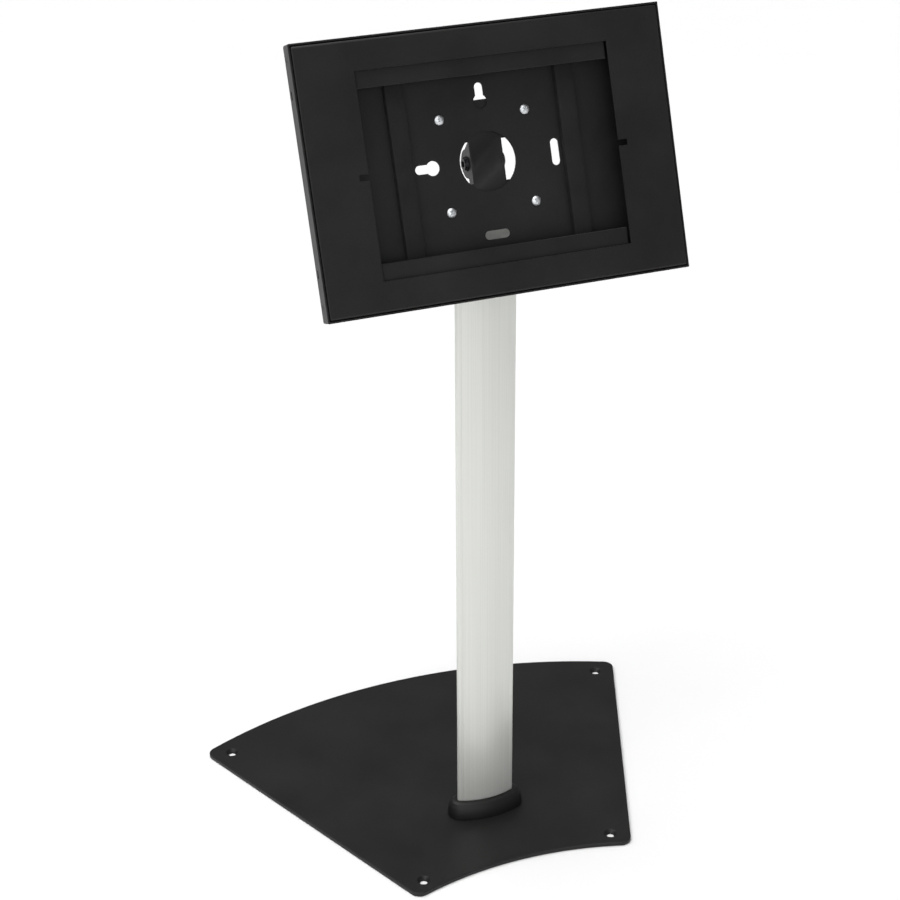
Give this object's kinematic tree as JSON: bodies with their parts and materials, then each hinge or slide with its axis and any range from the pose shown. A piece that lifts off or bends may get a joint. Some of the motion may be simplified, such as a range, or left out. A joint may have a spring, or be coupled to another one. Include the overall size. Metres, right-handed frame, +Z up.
{
  "type": "tablet kiosk stand",
  "caption": "Free-standing tablet kiosk: an open tablet frame that tilts on a slim post above a fan-shaped foot plate.",
  "frame": {"origin": "on the floor under the post axis, on the foot plate's underside", "axes": "+X to the user's right, +Y to the back, +Z up"},
  "size_m": [0.444, 0.341, 0.7662],
  "materials": {
    "black_powder_coat": "fine textured semi-matt powder coat",
    "anodised_aluminium": "satin silver anodised extrusion",
    "black_plastic": "fine spark-eroded moulded ABS",
    "black_rubber": "moulded rubber",
    "nylon": "natural nylon",
    "foam": "closed-cell foam strip",
    "zinc_plated_steel": "bright zinc plate",
    "black_oxide_steel": "black oxide"
  },
  "bodies": {
    "stand": {"base_plate": "black_powder_coat", "base_screws": "zinc_plated_steel", "post": "anodised_aluminium", "foot_collar": "black_plastic", "lower_cable_grommet": "black_rubber", "upper_cable_grommet": "black_rubber", "tilt_tongue": "black_powder_coat", "tongue_screws": "zinc_plated_steel"},
    "frame": {"vesa_bracket": "black_powder_coat", "friction_washers": "nylon", "tilt_bolt": "zinc_plated_steel", "tilt_nut": "zinc_plated_steel", "rear_case": "black_powder_coat", "vesa_screws": "zinc_plated_steel", "vesa_nuts": "zinc_plated_steel", "front_panel": "black_powder_coat", "panel_screws": "black_oxide_steel", "upper_rail": "black_powder_coat", "lower_rail": "black_powder_coat", "rail_screws": "zinc_plated_steel", "left_back_pad": "foam", "right_back_pad": "foam", "left_foam_strip": "foam", "right_foam_strip": "foam"}
  },
  "joints": [
    {"name": "frame_tilt", "type": "hinge", "parent": "stand", "child": "frame", "pos_m": [0, 0.0064, 0.6525], "axis": [-1, 0, 0], "range_deg": [-10, 60]}
  ]
}
